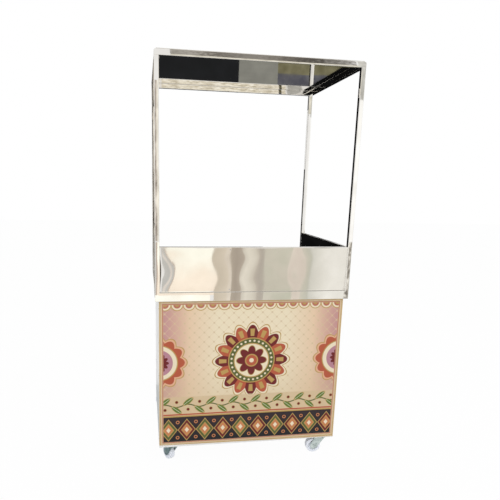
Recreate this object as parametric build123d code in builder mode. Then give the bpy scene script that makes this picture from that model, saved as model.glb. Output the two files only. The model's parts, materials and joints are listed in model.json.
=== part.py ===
from build123d import *
import os

# Overall sizes, in millimetres; the floor is Z = 0 and the customer's side faces -Y
counter_width = 914.0
counter_depth = 680.0
overall_height = 1880.0
worktop_height = 863.0

# Stainless tube and sheet
tube_width = 20.0
tube_wall = 1.2
tube_corner = 1.5
rim_height = 40.0
roof_rail_height = 25.0
roof_corner = 9.0
sheet_thickness = 1.2
bend_radius = 1.5
sheet_gap = 0.5

# Guards round the worktop
guard_height = 208.0
guard_setback = 3.0
guard_foot = 16.0
guard_return = 12.0

# Worktop stiffener, a hat channel
stiffener_width = 40.0
stiffener_depth = 20.0
stiffener_flange = 15.0

# Boards and the printed film on the front one
board_thickness = 3.0
film_thickness = 0.3
film_margin_left = 11.0
film_margin_right = 3.0

# Shelf in the base
shelf_height = 450.0
shelf_lip = 20.0

# Castor: place, corner pad and top plate
castor_height = 92.0
castor_side_inset = 59.0
castor_front_inset = 30.0
pad_thickness = 6.0
pad_margin = 8.0
plate_size = 60.0
plate_corner = 6.0
plate_thickness = 2.5
swivel_radius = 21.0

# Castor: kingpin, fork, wheel and axle
kingpin_radius = 5.0
kingpin_nut_width = 16.0
kingpin_nut_height = 5.0
fork_thickness = 2.5
fork_bend = 5.0
fork_lead = 23.0
fork_heel = 1.5
fork_side_room = 2.0
fork_crown_room = 4.0
leg_end_radius = 24.0
trail = 30.0
wheel_diameter = 75.0
wheel_width = 27.0
hub_radius = 10.0
axle_radius = 4.5
axle_end = 1.5
running_clearance = 0.05
swivel_gap = 0.3

# The way each fork trails at rest, in degrees from +X
castor_turn = {"front_left": 117.0, "front_right": 177.0, "rear_left": 150.0, "rear_right": 200.0}

# Each side's turn about Z, and each corner's signs in X and Y
side_turn = {"front": 0, "right": 90, "rear": 180, "left": 270}
corner_sign = {"front_left": (-1, -1), "front_right": (1, -1), "rear_left": (-1, 1), "rear_right": (1, 1)}

# Levels and outlines that follow from the sizes above
half_width = counter_width / 2
half_depth = counter_depth / 2
frame_half_width = half_width - tube_width
frame_half_depth = half_depth - tube_width
rim_top = worktop_height - sheet_thickness
rim_bottom = rim_top - rim_height
roof_underside = overall_height - sheet_thickness
post_top = roof_underside - roof_rail_height
base_bottom = castor_height + pad_thickness
deck_bottom = base_bottom + tube_width
wheel_radius = wheel_diameter / 2
plate_bottom = castor_height - plate_thickness
crown_bottom = wheel_diameter + fork_crown_room
crown_top = crown_bottom + fork_thickness
fork_half_gap = wheel_width / 2 + fork_side_room

os.makedirs("parts", exist_ok=True)


def keep(piece, label):
    """Label a finished piece and write its STEP file."""
    piece.part.label = label
    export_step(piece.part, f"parts/{label}.step")


def side_reach(side, across, deep):
    """Half the length of a side, and how far that side stands from the middle."""
    if side in ("front", "rear"):
        return across, deep
    return deep, across


def draw_tube_section(width, height, hollow=True):
    """Draw the section of a box tube, or of its closed end, in the open sketch."""
    Rectangle(width, height)
    chamfer(vertices(), tube_corner)
    if hollow:
        Rectangle(width - 2 * tube_wall, height - 2 * tube_wall, mode=Mode.SUBTRACT)


# Upright tubes: the legs of the base, and the posts of the roof with their feet mitred into the rim
def upright(label, corner, across, deep, bottom, top, mitred=False):
    sign_x, sign_y = corner_sign[corner]
    foot = (sign_x * (across - tube_width / 2), sign_y * (deep - tube_width / 2), bottom)
    with BuildPart() as tube:
        with BuildSketch(Plane(foot)):
            draw_tube_section(tube_width, tube_width)
        extrude(amount=top - bottom)
        if mitred:
            toe = (sign_x * across, 0, bottom)
            split(bisect_by=Plane(toe, z_dir=(sign_x * rim_height, 0, tube_width)), keep=Keep.TOP)
    keep(tube, label)


# Level tubes: a rail butts between two others, is mitred under the feet of the posts,
# or runs out over their tops to closed ends that are ground round above
def rail(label, side, across, deep, height, top, mitred=False, rounded=False):
    half_length, reach = side_reach(side, across, deep)
    along = Plane.XY.rotated((0, 0, side_turn[side]))
    run = half_length if mitred or rounded else half_length - tube_width
    start = along.from_local_coords((-run, tube_width / 2 - reach, top - height / 2))
    section = Plane(start, x_dir=along.y_dir, z_dir=along.x_dir)
    with BuildPart() as tube:
        with BuildSketch(section):
            draw_tube_section(tube_width, height)
        extrude(amount=2 * run)
        if mitred:
            for end in (-1, 1):
                tip = along.from_local_coords((end * half_length, 0, top - height))
                inward = along.x_dir * -end * height - along.z_dir * tube_width
                split(bisect_by=Plane(tip, z_dir=inward), keep=Keep.TOP)
        if rounded:
            for end in (section, section.offset(2 * run - roof_corner)):
                with BuildSketch(end):
                    draw_tube_section(tube_width, height, hollow=False)
                extrude(amount=roof_corner)
            with BuildSketch(Plane(along.origin, x_dir=along.x_dir, z_dir=-along.y_dir)):
                with Locations((0, top - height)):
                    Rectangle(2 * run, height, align=(Align.CENTER, Align.MIN))
                fillet(vertices().group_by(Axis.Y)[-1], roof_corner)
            extrude(amount=reach, mode=Mode.INTERSECT)
    keep(tube, label)


# A guard is one folded sheet: foot on the rim, tall face and return at the top, closed at both ends.
# The front one has its folds inside; a side one is flush with the posts inside, with its folds turned out.
def guard(label, side, setback, turned_in):
    half_length, reach = side_reach(side, half_width, half_depth)
    along = Plane.XY.rotated((0, 0, side_turn[side]))
    run = half_length - tube_width
    way = 1 if turned_in else -1
    start = along.from_local_coords((-way * run, setback - reach, rim_top))
    section = Plane(start, x_dir=along.y_dir * way, z_dir=along.x_dir * way)
    with BuildPart() as folded:
        with BuildSketch(section):
            with BuildLine():
                bend = bend_radius + sheet_thickness
                folds = [(guard_foot, 0), (0, 0), (0, guard_height), (guard_return, guard_height)]
                line = FilletPolyline(*folds, radius=bend)
                offset(line, amount=sheet_thickness, side=Side.RIGHT)
            make_face()
        extrude(amount=2 * run)
        for flange in (section, section.offset(2 * run - sheet_thickness)):
            with BuildSketch(flange):
                Rectangle(guard_foot, guard_height, align=(Align.MIN, Align.MIN))
                fillet(vertices().group_by(Axis.X)[0], bend)
            extrude(amount=sheet_thickness)
    keep(folded, label)


for corner in corner_sign:
    upright(f"post_{corner}", corner, half_width, half_depth, rim_bottom, post_top, mitred=True)
    upright(f"base_leg_{corner}", corner, frame_half_width, frame_half_depth, base_bottom, rim_top)

for side in side_turn:
    wide = side in ("front", "rear")
    rail(f"roof_rail_{side}", side, half_width, half_depth, roof_rail_height, roof_underside, rounded=wide)
    rail(f"counter_rim_{side}", side, half_width, half_depth, rim_height, rim_top, mitred=wide)
    rail(f"base_top_rail_{side}", side, frame_half_width, frame_half_depth, tube_width, rim_top)
    rail(f"base_bottom_rail_{side}", side, frame_half_width, frame_half_depth, tube_width, deck_bottom)

guard("front_guard", "front", guard_setback, turned_in=True)
guard("left_guard", "left", tube_width, turned_in=False)
guard("right_guard", "right", tube_width, turned_in=False)

# Roof sheet: lies on the rails, as far as their rounded ends
with BuildPart() as roof_sheet:
    with BuildSketch(Plane.XY.offset(roof_underside)):
        Rectangle(counter_width - 2 * roof_corner, counter_depth)
    extrude(amount=sheet_thickness)
keep(roof_sheet, "roof_sheet")

# Worktop: lies on the base frame inside the guards, and runs out over the rim at the open rear
worktop_front = frame_half_depth - sheet_gap
with BuildPart() as worktop_sheet:
    with BuildSketch(Plane((0, -worktop_front, rim_top))):
        clear_width = 2 * (frame_half_width - sheet_gap)
        Rectangle(clear_width, worktop_front + half_depth, align=(Align.CENTER, Align.MIN))
    extrude(amount=sheet_thickness)
keep(worktop_sheet, "worktop_sheet")

# Worktop stiffener: a hat channel under the sheet, from the front top rail to the rear one
stiffener_run = frame_half_depth - tube_width
with BuildPart() as worktop_stiffener:
    with BuildSketch(Plane((0, stiffener_run, rim_top), x_dir=(1, 0, 0), z_dir=(0, -1, 0))):
        with BuildLine():
            web = stiffener_width / 2
            brim = web + stiffener_flange
            hat = [(-brim, 0), (-web, 0), (-web, -stiffener_depth)]
            hat += [(-x, z) for x, z in reversed(hat)]
            line = Polyline(*hat)
            offset(line, amount=sheet_thickness, side=Side.RIGHT, kind=Kind.INTERSECTION)
        make_face()
    extrude(amount=2 * stiffener_run)
keep(worktop_stiffener, "worktop_stiffener")

# Boards: white composite, fixed to the outside of the base frame below the rim
board_height = rim_bottom - castor_height
front_board_width = 2 * (frame_half_width + board_thickness)
with BuildPart() as front_panel:
    with BuildSketch(Plane.XZ.offset(frame_half_depth)):
        with Locations((0, castor_height)):
            Rectangle(front_board_width, board_height, align=(Align.CENTER, Align.MIN))
    extrude(amount=board_thickness)
keep(front_panel, "front_panel")

for side, sign in (("left", -1), ("right", 1)):
    with BuildPart() as side_panel:
        with BuildSketch(Plane.YZ.offset(sign * frame_half_width)):
            with Locations((0, castor_height)):
                Rectangle(2 * frame_half_depth, board_height, align=(Align.CENTER, Align.MIN))
        extrude(amount=sign * board_thickness)
    keep(side_panel, f"{side}_panel")

# Printed film: stuck on a little askew, so that a white margin tapers along the bottom edge
with BuildPart() as front_print_film:
    with BuildSketch(Plane.XZ.offset(frame_half_depth + board_thickness)):
        with BuildLine():
            edge = front_board_width / 2
            low_left = (-edge, castor_height + film_margin_left)
            low_right = (edge, castor_height + film_margin_right)
            Polyline(low_left, low_right, (edge, rim_bottom), (-edge, rim_bottom), close=True)
        make_face()
    extrude(amount=film_thickness)
keep(front_print_film, "front_print_film")

# Bottom deck: lies on the bottom rails, notched round the legs
with BuildPart() as bottom_deck:
    with BuildSketch(Plane.XY.offset(deck_bottom)):
        Rectangle(2 * frame_half_width, 2 * frame_half_depth)
        leg_span_x = 2 * frame_half_width - tube_width
        leg_span_y = 2 * frame_half_depth - tube_width
        with GridLocations(leg_span_x, leg_span_y, 2, 2):
            Rectangle(tube_width + 2 * sheet_gap, tube_width + 2 * sheet_gap, mode=Mode.SUBTRACT)
    extrude(amount=sheet_thickness)
keep(bottom_deck, "bottom_deck")

# Middle shelf: a sheet on two side bearers, with a stiffening lip folded down along its front and rear
for side in ("left", "right"):
    rail(f"shelf_bearer_{side}", side, frame_half_width, frame_half_depth, tube_width, shelf_height)

shelf_half_depth = frame_half_depth - tube_width - sheet_gap
lip_length = 2 * (frame_half_width - tube_width - sheet_gap)
with BuildPart() as middle_shelf:
    with BuildSketch(Plane.XY.offset(shelf_height)):
        Rectangle(2 * frame_half_width, 2 * shelf_half_depth)
    extrude(amount=sheet_thickness)
    with BuildSketch(Plane.XY.offset(shelf_height)):
        with GridLocations(0, 2 * shelf_half_depth - sheet_thickness, 1, 2):
            Rectangle(lip_length, sheet_thickness)
    extrude(amount=-shelf_lip)
keep(middle_shelf, "middle_shelf")


# Castors
def castor_centre(corner):
    """Where a castor's swivel axis meets the floor."""
    sign_x, sign_y = corner_sign[corner]
    across = frame_half_width - castor_side_inset
    deep = frame_half_depth - castor_front_inset
    return sign_x * across, sign_y * deep


castor_centres = [castor_centre(corner) for corner in corner_sign]

# Corner pads: plates welded under the base frame, one for each castor
with BuildPart() as castor_pads:
    with BuildSketch(Plane.XY.offset(castor_height)):
        pad_width = castor_side_inset + plate_size / 2 + pad_margin
        pad_depth = castor_front_inset + plate_size / 2 + pad_margin
        with GridLocations(2 * frame_half_width - pad_width, 2 * frame_half_depth - pad_depth, 2, 2):
            Rectangle(pad_width, pad_depth)
    extrude(amount=pad_thickness)
keep(castor_pads, "castor_pads")

# Top plates: square, each with the round swivel head under it
with BuildPart() as castor_plates:
    with BuildSketch(Plane.XY.offset(plate_bottom)):
        with Locations(*castor_centres):
            Rectangle(plate_size, plate_size)
        chamfer(vertices(), plate_corner)
    extrude(amount=plate_thickness)
    with BuildSketch(Plane.XY.offset(plate_bottom)):
        with Locations(*castor_centres):
            Circle(swivel_radius)
    extrude(amount=crown_top + swivel_gap - plate_bottom)
    with Locations(*[(*middle, castor_height) for middle in castor_centres]):
        Hole(kingpin_radius)
keep(castor_plates, "castor_plates")

# Kingpins: down through the swivel heads, each with a nut under the crown of its fork
with BuildPart() as castor_kingpins:
    nut_top = crown_bottom - swivel_gap
    with BuildSketch(Plane.XY.offset(castor_height)):
        with Locations(*castor_centres):
            Circle(kingpin_radius)
    extrude(amount=nut_top - castor_height)
    with BuildSketch(Plane.XY.offset(nut_top)):
        with Locations(*castor_centres):
            RegularPolygon(kingpin_nut_width / 2, 6, major_radius=False)
    extrude(amount=-kingpin_nut_height)
keep(castor_kingpins, "castor_kingpins")


def castor_plane(corner):
    """The floor plane under a castor, with X along the way that the fork trails."""
    return Plane((*castor_centre(corner), 0)).rotated((0, 0, castor_turn[corner]))


# Fork: a strip bent over the wheel, its legs running back to broad round ends at the axle
def castor_fork(corner):
    floor = castor_plane(corner)
    half_fork = fork_half_gap + fork_thickness
    strip_start = floor.from_local_coords((-fork_lead, 0, 0))
    with BuildPart() as fork:
        with BuildSketch(Plane(strip_start, x_dir=floor.y_dir, z_dir=floor.x_dir)):
            with BuildLine():
                arch = [(-half_fork, 0), (-half_fork, crown_top), (half_fork, crown_top), (half_fork, 0)]
                line = FilletPolyline(*arch, radius=fork_bend)
                offset(line, amount=fork_thickness, side=Side.RIGHT)
            make_face()
        extrude(amount=fork_lead + trail + leg_end_radius)
        with BuildSketch(Plane(floor.origin, x_dir=floor.x_dir, z_dir=-floor.y_dir)):
            with Locations((trail, wheel_radius)):
                Circle(leg_end_radius)
            with Locations((-fork_lead, crown_top)):
                Rectangle(fork_lead + trail - fork_heel, fork_bend, align=(Align.MIN, Align.MAX))
            make_hull()
            with Locations((trail, wheel_radius)):
                Circle(axle_radius + running_clearance, mode=Mode.SUBTRACT)
        extrude(amount=half_fork, both=True, mode=Mode.INTERSECT)
        with Locations(floor.offset(crown_top)):
            Hole(kingpin_radius + running_clearance)
    keep(fork, f"castor_fork_{corner}")


def axle_plane(corner):
    """A plane through the axle's middle, with X along the axle and Y up."""
    floor = castor_plane(corner)
    centre = floor.from_local_coords((trail, 0, wheel_radius))
    return Plane(centre, x_dir=floor.y_dir, z_dir=floor.x_dir)


# Wheel: moulded nylon with a hub that keeps its sides clear of the fork, turned about the axle
def castor_wheel(corner):
    section = axle_plane(corner)
    hub_end = fork_half_gap - swivel_gap
    rim_end = wheel_width / 2
    bore = axle_radius + running_clearance
    tread = [(0, wheel_radius), (rim_end, wheel_radius), (rim_end, hub_radius)]
    hub = [(hub_end, hub_radius), (hub_end, bore), (0, bore)]
    with BuildPart() as wheel:
        with BuildSketch(section):
            with BuildLine():
                Polyline(*tread, *hub, close=True)
            make_face()
            mirror(about=Plane.YZ)
        revolve(axis=Axis(section.origin, section.x_dir))
    keep(wheel, f"castor_wheel_{corner}")


# Axle: a pin that stands a little proud of both legs of the fork
def castor_axle(corner):
    section = axle_plane(corner)
    with BuildPart() as axle:
        with BuildSketch(Plane(section.origin, x_dir=section.y_dir, z_dir=section.x_dir)):
            Circle(axle_radius)
        extrude(amount=fork_half_gap + fork_thickness + axle_end, both=True)
    keep(axle, f"castor_axle_{corner}")


for corner in corner_sign:
    castor_fork(corner)
    castor_wheel(corner)
    castor_axle(corner)
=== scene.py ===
"""Looks of the tea display counter: a stainless canopy, guards and rim over a boarded base on castors."""
import json
import logging
import math
from dataclasses import dataclass
from enum import Enum
from functools import cache
from typing import Any, Callable, Sequence

import bmesh
import bpy
from mathutils import Matrix, Vector


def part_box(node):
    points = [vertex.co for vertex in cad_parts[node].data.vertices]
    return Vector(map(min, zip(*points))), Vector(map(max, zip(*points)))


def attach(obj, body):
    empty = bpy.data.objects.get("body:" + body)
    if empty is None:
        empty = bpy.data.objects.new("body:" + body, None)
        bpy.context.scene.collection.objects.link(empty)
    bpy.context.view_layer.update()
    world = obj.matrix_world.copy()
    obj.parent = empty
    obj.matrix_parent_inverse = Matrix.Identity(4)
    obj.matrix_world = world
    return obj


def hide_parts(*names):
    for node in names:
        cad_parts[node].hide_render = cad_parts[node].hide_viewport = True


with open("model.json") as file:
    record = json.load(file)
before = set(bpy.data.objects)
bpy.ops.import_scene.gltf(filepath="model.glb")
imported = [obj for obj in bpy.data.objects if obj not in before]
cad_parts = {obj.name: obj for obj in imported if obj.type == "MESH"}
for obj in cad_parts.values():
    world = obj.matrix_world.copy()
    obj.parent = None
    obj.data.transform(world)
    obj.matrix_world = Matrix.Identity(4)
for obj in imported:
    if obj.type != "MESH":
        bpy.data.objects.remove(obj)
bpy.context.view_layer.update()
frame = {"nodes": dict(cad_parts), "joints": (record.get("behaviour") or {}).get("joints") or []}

log = logging.getLogger("tea_counter")
# Metres: a millimetre, and the distance under which two points are one.
MM = 0.001
HAIR = 0.000001


class Run(Enum):
    """The way a tube or a sheet's polishing lines run."""

    ACROSS = 0
    DEEP = 1
    UP = 2


class Side(Enum):
    """A side of the counter, with its turn about the upright axis in degrees."""

    FRONT = 0
    RIGHT = 90
    REAR = 180
    LEFT = 270


class Corner(Enum):
    """A corner of the counter, by the ending of its nodes' names."""

    FRONT_LEFT = "front_left"
    FRONT_RIGHT = "front_right"
    REAR_LEFT = "rear_left"
    REAR_RIGHT = "rear_right"


def linear(code: str) -> tuple[float, float, float, float]:
    """Turn an sRGB hex colour into linear values.

    Args:
        code: A hash and six hex digits.

    Returns:
        Red, green, blue and alpha for a colour socket.
    """
    parts = [int(code[start:start + 2], 16) / 255 for start in (1, 3, 5)]
    steps = [part / 12.92 if part <= 0.04045 else ((part + 0.055) / 1.055) ** 2.4 for part in parts]
    return steps[0], steps[1], steps[2], 1.0


def add_node(tree: bpy.types.NodeTree, kind: str, links: dict[int | str, Any] | None = None,
             **settings: Any) -> bpy.types.Node:
    """Add a node with its settings, constants and incoming links.

    Args:
        tree: The node tree that gets the node.
        kind: Blender's type name of the node.
        links: For each input, a constant, an output socket or a Signal.
        settings: The node's own properties.

    Returns:
        The new node.
    """
    node = tree.nodes.new(kind)
    for name, value in settings.items():
        setattr(node, name, value)
    for key, value in (links or {}).items():
        value = value.socket if isinstance(value, Signal) else value
        if isinstance(value, bpy.types.NodeSocket):
            tree.links.new(value, node.inputs[key])
        else:
            node.inputs[key].default_value = value
    return node


@dataclass(frozen=True)
class Signal:
    """A number in a node tree that takes part in plain arithmetic."""

    socket: bpy.types.NodeSocket

    def apply(self, operation: str, *others: "Signal | float", clamp: bool = False) -> "Signal":
        """Put this number through one step of arithmetic.

        Args:
            operation: The arithmetic's name in Blender.
            others: The numbers that come after this one.
            clamp: Whether the result is kept between 0 and 1.

        Returns:
            The result.
        """
        numbers = dict(enumerate((self, *others)))
        node = add_node(self.socket.id_data, "ShaderNodeMath", numbers, operation=operation, use_clamp=clamp)
        return Signal(node.outputs[0])

    def __add__(self, other: "Signal | float") -> "Signal":
        """Add."""
        return self.apply("ADD", other)

    def __sub__(self, other: "Signal | float") -> "Signal":
        """Subtract."""
        return self.apply("SUBTRACT", other)

    def __mul__(self, other: "Signal | float") -> "Signal":
        """Multiply."""
        return self.apply("MULTIPLY", other)

    def __truediv__(self, other: "Signal | float") -> "Signal":
        """Divide."""
        return self.apply("DIVIDE", other)

    def __abs__(self) -> "Signal":
        """Drop the sign."""
        return self.apply("ABSOLUTE")

    def __or__(self, other: "Signal") -> "Signal":
        """Join two masks."""
        return self.apply("MAXIMUM", other)

    def rise(self, low: float, high: float) -> "Signal":
        """Go from 0 at low to 1 at high, which may lie below low."""
        return (self - low).apply("DIVIDE", high - low, clamp=True)

    def below(self, edge: "Signal | float", soft: float = 1.0) -> "Signal":
        """Mask what lies below an edge that is soft over a width."""
        return (self.apply("SUBTRACT", edge) * (-1 / soft)).apply("ADD", 0.5, clamp=True)

    def band(self, middle: "Signal | float", width: float, soft: float = 1.0) -> "Signal":
        """Mask a band of a width about its middle."""
        return abs(self - middle).below(width / 2, soft)

    def tile(self, pitch: float) -> "Signal":
        """Repeat this length at a pitch, measured from the middle of each repeat."""
        return ((self / pitch).apply("FRACT") - 0.5) * pitch

    def distance(self, other: "Signal") -> "Signal":
        """Measure how far a place is from the middle, from its two parts."""
        return (self * self + other * other).apply("SQRT")

    def odd(self, pitch: float) -> "Signal":
        """Mask every second repeat of a pitch."""
        return (self / (2 * pitch)).apply("FRACT").below(0.5, 0.001)


def blank_material(name: str) -> bpy.types.Material:
    """Make a material whose node tree is empty.

    Args:
        name: The material's name.

    Returns:
        The material.
    """
    made = bpy.data.materials.new(name)
    made.use_nodes = True
    made.node_tree.nodes.clear()
    return made


def ease(share: float) -> float:
    """Go from 0 to 1 with a soft start and a soft end.

    Args:
        share: How far along, held between 0 and 1.

    Returns:
        The softened share.
    """
    held = max(0.0, min(1.0, share))
    return held * held * (3 - 2 * held)


@dataclass(frozen=True)
class Finish:
    """A surface finish that makes its own material."""

    name: str

    @cache
    def material(self) -> bpy.types.Material:
        """Make this finish's material.

        Returns:
            The material, the same one at each call.
        """
        made = blank_material(self.name)
        shader = add_node(made.node_tree, "ShaderNodeBsdfPrincipled", self.surface(made.node_tree))
        add_node(made.node_tree, "ShaderNodeOutputMaterial", {0: shader.outputs[0]})
        return made

    def surface(self, tree: bpy.types.NodeTree) -> dict[int | str, Any]:
        """Draw the surface's patterns; each finish has its own way.

        Args:
            tree: The material's node tree.

        Returns:
            The surface shader's inputs.
        """
        raise NotImplementedError

    def measure(self, tree: bpy.types.NodeTree, *size_mm: float) -> bpy.types.NodeSocket:
        """Measure the surface in steps of a real size, for a pattern drawn at a scale of one.

        Args:
            tree: The material's node tree.
            size_mm: The step in millimetres, the same all ways or one for each axis.

        Returns:
            The place on the object, counted in steps.
        """
        steps = size_mm if len(size_mm) == 3 else size_mm * 3
        place = add_node(tree, "ShaderNodeTexCoord").outputs["Object"]
        scale = [1 / (length * MM) for length in steps]
        return add_node(tree, "ShaderNodeVectorMath", {0: place, 1: scale}, operation="MULTIPLY").outputs[0]


@dataclass(frozen=True)
class Stainless(Finish):
    """Chromium steel, ground or buffed; the sizes of its lines and waves make it tube or sheet."""

    light: str
    dark: str
    smooth: float
    rough: float
    line_mm: tuple[float, float, float]
    line_depth_mm: float
    wave_mm: tuple[float, float, float]
    wave_depth_mm: float
    smudge_mm: float = 90.0

    def surface(self, tree: bpy.types.NodeTree) -> dict[int | str, Any]:
        """Draw smeared gloss, polishing lines and slow waves.

        Args:
            tree: The material's node tree.

        Returns:
            The surface shader's inputs.
        """
        smudge = Signal(add_node(tree, "ShaderNodeTexNoise", {
            "Vector": self.measure(tree, self.smudge_mm), "Scale": 1.0, "Detail": 3.0}).outputs[0])
        lines = add_node(tree, "ShaderNodeTexNoise", {
            "Vector": self.measure(tree, *self.line_mm), "Scale": 1.0, "Detail": 2.0})
        waves = add_node(tree, "ShaderNodeTexNoise", {
            "Vector": self.measure(tree, *self.wave_mm), "Scale": 1.0, "Detail": 1.0})
        slow = add_node(tree, "ShaderNodeBump", {
            "Height": waves.outputs[0], "Distance": self.wave_depth_mm * MM, "Strength": 1.0})
        fine = add_node(tree, "ShaderNodeBump", {
            "Height": lines.outputs[0], "Distance": self.line_depth_mm * MM, "Strength": 1.0,
            "Normal": slow.outputs[0]})
        colour = add_node(tree, "ShaderNodeMix", {
            0: smudge.rise(0.3, 0.8), 6: linear(self.light), 7: linear(self.dark)}, data_type="RGBA")
        gloss = smudge.rise(0.35, 0.75) * (self.rough - self.smooth) + self.smooth
        return {"Base Color": colour.outputs[2], "Metallic": 1.0, "Roughness": gloss,
                "Normal": fine.outputs[0]}


def polished_tube(run: Run) -> Stainless:
    """Describe buffed box tube whose lines run along its length.

    Args:
        run: The tube's long way.

    Returns:
        The finish.
    """
    # Buffed 304 tube: a bright mirror with faint belt lines along it and a slow waviness that breaks
    # what it mirrors into soft patches. The belt lines are finer than a millimetre and drawn at 3 mm to show.
    lines, waves = [3.0] * 3, [45.0] * 3
    lines[run.value], waves[run.value] = 320.0, 190.0
    return Stainless(f"buffed_stainless_tube_{run.name.lower()}", "#F0EEEA", "#E2DFDA",
                     smooth=0.012, rough=0.04, line_mm=tuple(lines), line_depth_mm=0.0012,
                     wave_mm=tuple(waves), wave_depth_mm=0.12)


# Buffed sheet: a near mirror; rolling and hand buffing leave slow waves and faint cloudy smears.
MIRROR_SHEET = Stainless("buffed_stainless_sheet", "#EDEAE5", "#E0DCD6", smooth=0.02, rough=0.07,
                         line_mm=(260.0, 260.0, 4.0), line_depth_mm=0.001,
                         wave_mm=(190.0, 190.0, 150.0), wave_depth_mm=0.12, smudge_mm=140.0)
# Mill-finish sheet: grey and satin, with rolling lines along its length, drawn at 2.5 mm to show.
SATIN_SHEET = Stainless("rolled_stainless_sheet", "#B4B3B0", "#9C9A96", smooth=0.26, rough=0.40,
                        line_mm=(400.0, 2.5, 2.5), line_depth_mm=0.006,
                        wave_mm=(220.0, 220.0, 220.0), wave_depth_mm=0.2)
# The buffed sheet's back: milky, pale and nearly matt, with faint rolling lines, drawn at 3 mm to show.
SHEET_BACK = Stainless("unbuffed_stainless_back", "#E2E1DE", "#CFCDC9", smooth=0.42, rough=0.55,
                       line_mm=(300.0, 300.0, 3.0), line_depth_mm=0.004,
                       wave_mm=(220.0, 220.0, 220.0), wave_depth_mm=0.2)
# Mill-finish tube: dull grey with drawing marks along it and darker handling smears.
MILL_TUBE = Stainless("mill_stainless_tube", "#ABAAA7", "#8E8B86", smooth=0.28, rough=0.45,
                      line_mm=(4.0, 4.0, 4.0), line_depth_mm=0.006,
                      wave_mm=(160.0, 160.0, 160.0), wave_depth_mm=0.15, smudge_mm=60.0)


@dataclass(frozen=True)
class ZincPlate(Finish):
    """Bright zinc over pressed steel."""

    light: str = "#CDD6D3"
    dark: str = "#A0ACA9"
    smooth: float = 0.18
    rough: float = 0.32
    grain_mm: float = 4.0
    grain_depth_mm: float = 0.03
    stain_mm: float = 16.0

    def surface(self, tree: bpy.types.NodeTree) -> dict[int | str, Any]:
        """Draw the plating's clouding and its slight roughness.

        Args:
            tree: The material's node tree.

        Returns:
            The surface shader's inputs.
        """
        grain = Signal(add_node(tree, "ShaderNodeTexNoise", {
            "Vector": self.measure(tree, self.grain_mm), "Scale": 1.0, "Detail": 4.0,
            "Roughness": 0.6}).outputs[0])
        stain = Signal(add_node(tree, "ShaderNodeTexNoise", {
            "Vector": self.measure(tree, self.stain_mm), "Scale": 1.0, "Detail": 2.0}).outputs[0])
        bump = add_node(tree, "ShaderNodeBump", {
            "Height": grain, "Distance": self.grain_depth_mm * MM, "Strength": 1.0})
        colour = add_node(tree, "ShaderNodeMix", {
            0: stain.rise(0.35, 0.7), 6: linear(self.light), 7: linear(self.dark)}, data_type="RGBA")
        gloss = grain.rise(0.2, 0.8) * (self.rough - self.smooth) + self.smooth
        return {"Base Color": colour.outputs[2], "Metallic": 1.0, "Roughness": gloss,
                "Normal": bump.outputs[0]}


@dataclass(frozen=True)
class MouldedNylon(Finish):
    """White nylon, injection-moulded."""

    clean: str = "#F2F6FF"
    scuffed: str = "#E8EDF7"
    smooth: float = 0.3
    rough: float = 0.55
    scuff_mm: float = 16.0
    skin_mm: float = 1.2
    skin_depth_mm: float = 0.02

    def surface(self, tree: bpy.types.NodeTree) -> dict[int | str, Any]:
        """Draw the scuffs, the waxy gloss and a fine moulded skin.

        Args:
            tree: The material's node tree.

        Returns:
            The surface shader's inputs.
        """
        scuff = Signal(add_node(tree, "ShaderNodeTexNoise", {
            "Vector": self.measure(tree, self.scuff_mm), "Scale": 1.0, "Detail": 5.0,
            "Roughness": 0.65}).outputs[0])
        skin = add_node(tree, "ShaderNodeTexNoise", {
            "Vector": self.measure(tree, self.skin_mm), "Scale": 1.0, "Detail": 2.0})
        bump = add_node(tree, "ShaderNodeBump", {
            "Height": skin.outputs[0], "Distance": self.skin_depth_mm * MM, "Strength": 0.6})
        colour = add_node(tree, "ShaderNodeMix", {
            0: scuff.rise(0.56, 0.82), 6: linear(self.clean), 7: linear(self.scuffed)}, data_type="RGBA")
        gloss = scuff * (self.rough - self.smooth) + self.smooth
        return {"Base Color": colour.outputs[2], "IOR": 1.53, "Roughness": gloss, "Normal": bump.outputs[0]}


@dataclass(frozen=True)
class CompositeBoard(Finish):
    """White lacquered skin over a plastic core."""

    white: str = "#EEEEEC"
    shade: str = "#E1E1DF"
    smooth: float = 0.3
    rough: float = 0.42
    peel_mm: float = 6.0
    peel_depth_mm: float = 0.03
    haze_mm: float = 240.0

    def surface(self, tree: bpy.types.NodeTree) -> dict[int | str, Any]:
        """Draw the lacquer's slight haze and its peel.

        Args:
            tree: The material's node tree.

        Returns:
            The surface shader's inputs.
        """
        haze = Signal(add_node(tree, "ShaderNodeTexNoise", {
            "Vector": self.measure(tree, self.haze_mm), "Scale": 1.0, "Detail": 3.0}).outputs[0])
        peel = add_node(tree, "ShaderNodeTexNoise", {
            "Vector": self.measure(tree, self.peel_mm), "Scale": 1.0, "Detail": 1.0})
        bump = add_node(tree, "ShaderNodeBump", {
            "Height": peel.outputs[0], "Distance": self.peel_depth_mm * MM, "Strength": 0.5})
        colour = add_node(tree, "ShaderNodeMix", {
            0: haze.rise(0.3, 0.75), 6: linear(self.white), 7: linear(self.shade)}, data_type="RGBA")
        gloss = haze * (self.rough - self.smooth) + self.smooth
        return {"Base Color": colour.outputs[2], "IOR": 1.5, "Roughness": gloss, "Normal": bump.outputs[0]}


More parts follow.
